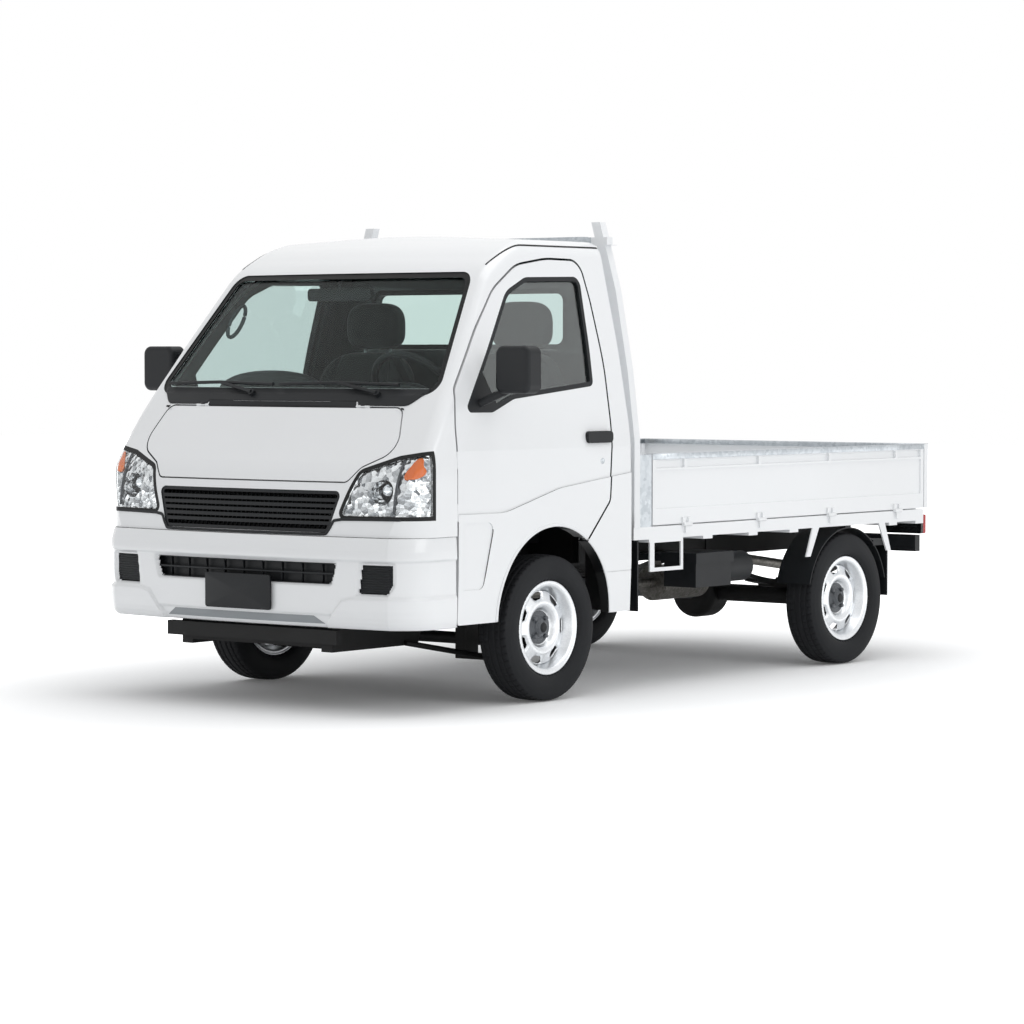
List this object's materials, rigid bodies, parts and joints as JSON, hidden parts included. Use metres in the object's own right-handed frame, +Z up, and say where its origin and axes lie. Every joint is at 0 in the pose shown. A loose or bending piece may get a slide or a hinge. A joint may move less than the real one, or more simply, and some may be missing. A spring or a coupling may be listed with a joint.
{
  "type": "kei truck",
  "caption": "Small cab-over pickup truck with a white two-seat cab, a flat load bed, folding gates and a guard frame behind the cab.",
  "frame": {"origin": "centre of the footprint of the whole truck, on the ground", "axes": "+X to the truck's left side, +Y to its rear, +Z up"},
  "size_m": [1.834, 3.395, 1.7159],
  "materials": {
    "white_paint": "gloss",
    "black_underbody": "satin",
    "engine_metal": "rough",
    "rim_paint": "satin",
    "tyre_rubber": "matt",
    "black_plastic": "fine grain",
    "tinted_glass": "polished",
    "seal_rubber": "matt",
    "lamp_lens": "polished",
    "lamp_reflector": "mirror",
    "seat_cloth": "woven",
    "galvanised": "satin",
    "exhaust_steel": "dull",
    "tail_lens": "gloss"
  },
  "bodies": {
    "truck": {"chassis_frame": "black_underbody", "engine_block": "engine_metal", "drive_line": "engine_metal", "rear_axle": "black_underbody", "rear_springs": "black_underbody", "front_suspension": "black_underbody", "exhaust": "exhaust_steel", "fuel_tank": "black_underbody", "battery_box": "black_plastic", "cab_floor": "black_plastic", "cab_side_left": "white_paint", "cab_side_right": "white_paint", "roof_panel": "white_paint", "cab_rear_panel": "white_paint", "front_body": "white_paint", "grille": "black_plastic", "front_bumper": "white_paint", "bumper_inserts": "black_plastic", "headlamp_bowls": "lamp_reflector", "headlamp_lenses": "lamp_lens", "cab_glass": "tinted_glass", "glass_seals": "seal_rubber", "seats": "seat_cloth", "dashboard": "black_plastic", "steering_wheel": "black_plastic", "interior_mirror": "black_plastic", "wipers": "black_plastic", "bed_floor": "white_paint", "bed_frame": "white_paint", "guard_frame": "galvanised", "underbody_guards": "black_plastic", "tail_lamps": "tail_lens"},
    "steering_left": {"knuckle_left": "black_underbody"},
    "steering_right": {"knuckle_right": "black_underbody"},
    "wheel_front_left": {"rim_front_left": "rim_paint", "tyre_front_left": "tyre_rubber"},
    "wheel_front_right": {"rim_front_right": "rim_paint", "tyre_front_right": "tyre_rubber"},
    "wheel_rear_left": {"rim_rear_left": "rim_paint", "tyre_rear_left": "tyre_rubber"},
    "wheel_rear_right": {"rim_rear_right": "rim_paint", "tyre_rear_right": "tyre_rubber"},
    "left_door": {"door_left": "white_paint", "door_trim_left": "black_plastic", "door_glass_left": "tinted_glass"},
    "right_door": {"door_right": "white_paint", "door_trim_right": "black_plastic", "door_glass_right": "tinted_glass"},
    "bonnet": {"bonnet_lid": "white_paint"},
    "left_gate": {"side_gate_left": "white_paint"},
    "right_gate": {"side_gate_right": "white_paint"},
    "rear_gate": {"tailgate": "white_paint"}
  },
  "joints": [
    {"name": "steer_left", "type": "hinge", "parent": "truck", "child": "steering_left", "pos_m": [0.59, -0.835, 0.152], "axis": [-0.1769, 0, 0.9842], "range_deg": [-32, 32]},
    {"name": "steer_right", "type": "hinge", "parent": "truck", "child": "steering_right", "pos_m": [-0.59, -0.835, 0.152], "axis": [0.1769, 0, 0.9842], "range_deg": [-32, 32]},
    {"name": "spin_front_left", "type": "hinge", "parent": "steering_left", "child": "wheel_front_left", "pos_m": [0.652, -0.835, 0.261], "axis": [1, 0, 0], "continuous": true},
    {"name": "spin_front_right", "type": "hinge", "parent": "steering_right", "child": "wheel_front_right", "pos_m": [-0.652, -0.835, 0.261], "axis": [1, 0, 0], "continuous": true},
    {"name": "spin_rear_left", "type": "hinge", "parent": "truck", "child": "wheel_rear_left", "pos_m": [0.65, 1.095, 0.261], "axis": [1, 0, 0], "continuous": true},
    {"name": "spin_rear_right", "type": "hinge", "parent": "truck", "child": "wheel_rear_right", "pos_m": [-0.65, 1.095, 0.261], "axis": [1, 0, 0], "continuous": true},
    {"name": "open_door_left", "type": "hinge", "parent": "truck", "child": "left_door", "pos_m": [0.7338, -1.38204, 0.78], "axis": [0, 0, -1], "range_deg": [0, 60]},
    {"name": "open_door_right", "type": "hinge", "parent": "truck", "child": "right_door", "pos_m": [-0.7338, -1.38204, 0.78], "axis": [0, 0, 1], "range_deg": [0, 60]},
    {"name": "open_bonnet", "type": "hinge", "parent": "truck", "child": "bonnet", "pos_m": [0, -1.46334, 1.05097], "axis": [-1, 0, 0], "range_deg": [0, 50]},
    {"name": "drop_gate_left", "type": "hinge", "parent": "truck", "child": "left_gate", "pos_m": [0.73, 0.709, 0.6], "axis": [0, 1, 0], "range_deg": [0, 175]},
    {"name": "drop_gate_right", "type": "hinge", "parent": "truck", "child": "right_gate", "pos_m": [-0.73, 0.709, 0.6], "axis": [0, -1, 0], "range_deg": [0, 175]},
    {"name": "drop_tailgate", "type": "hinge", "parent": "truck", "child": "rear_gate", "pos_m": [0, 1.691, 0.6], "axis": [-1, 0, 0], "range_deg": [0, 175]}
  ],
  "couplings": [
    {"joint": "steer_right", "follows": "steer_left", "ratio": 1}
  ]
}
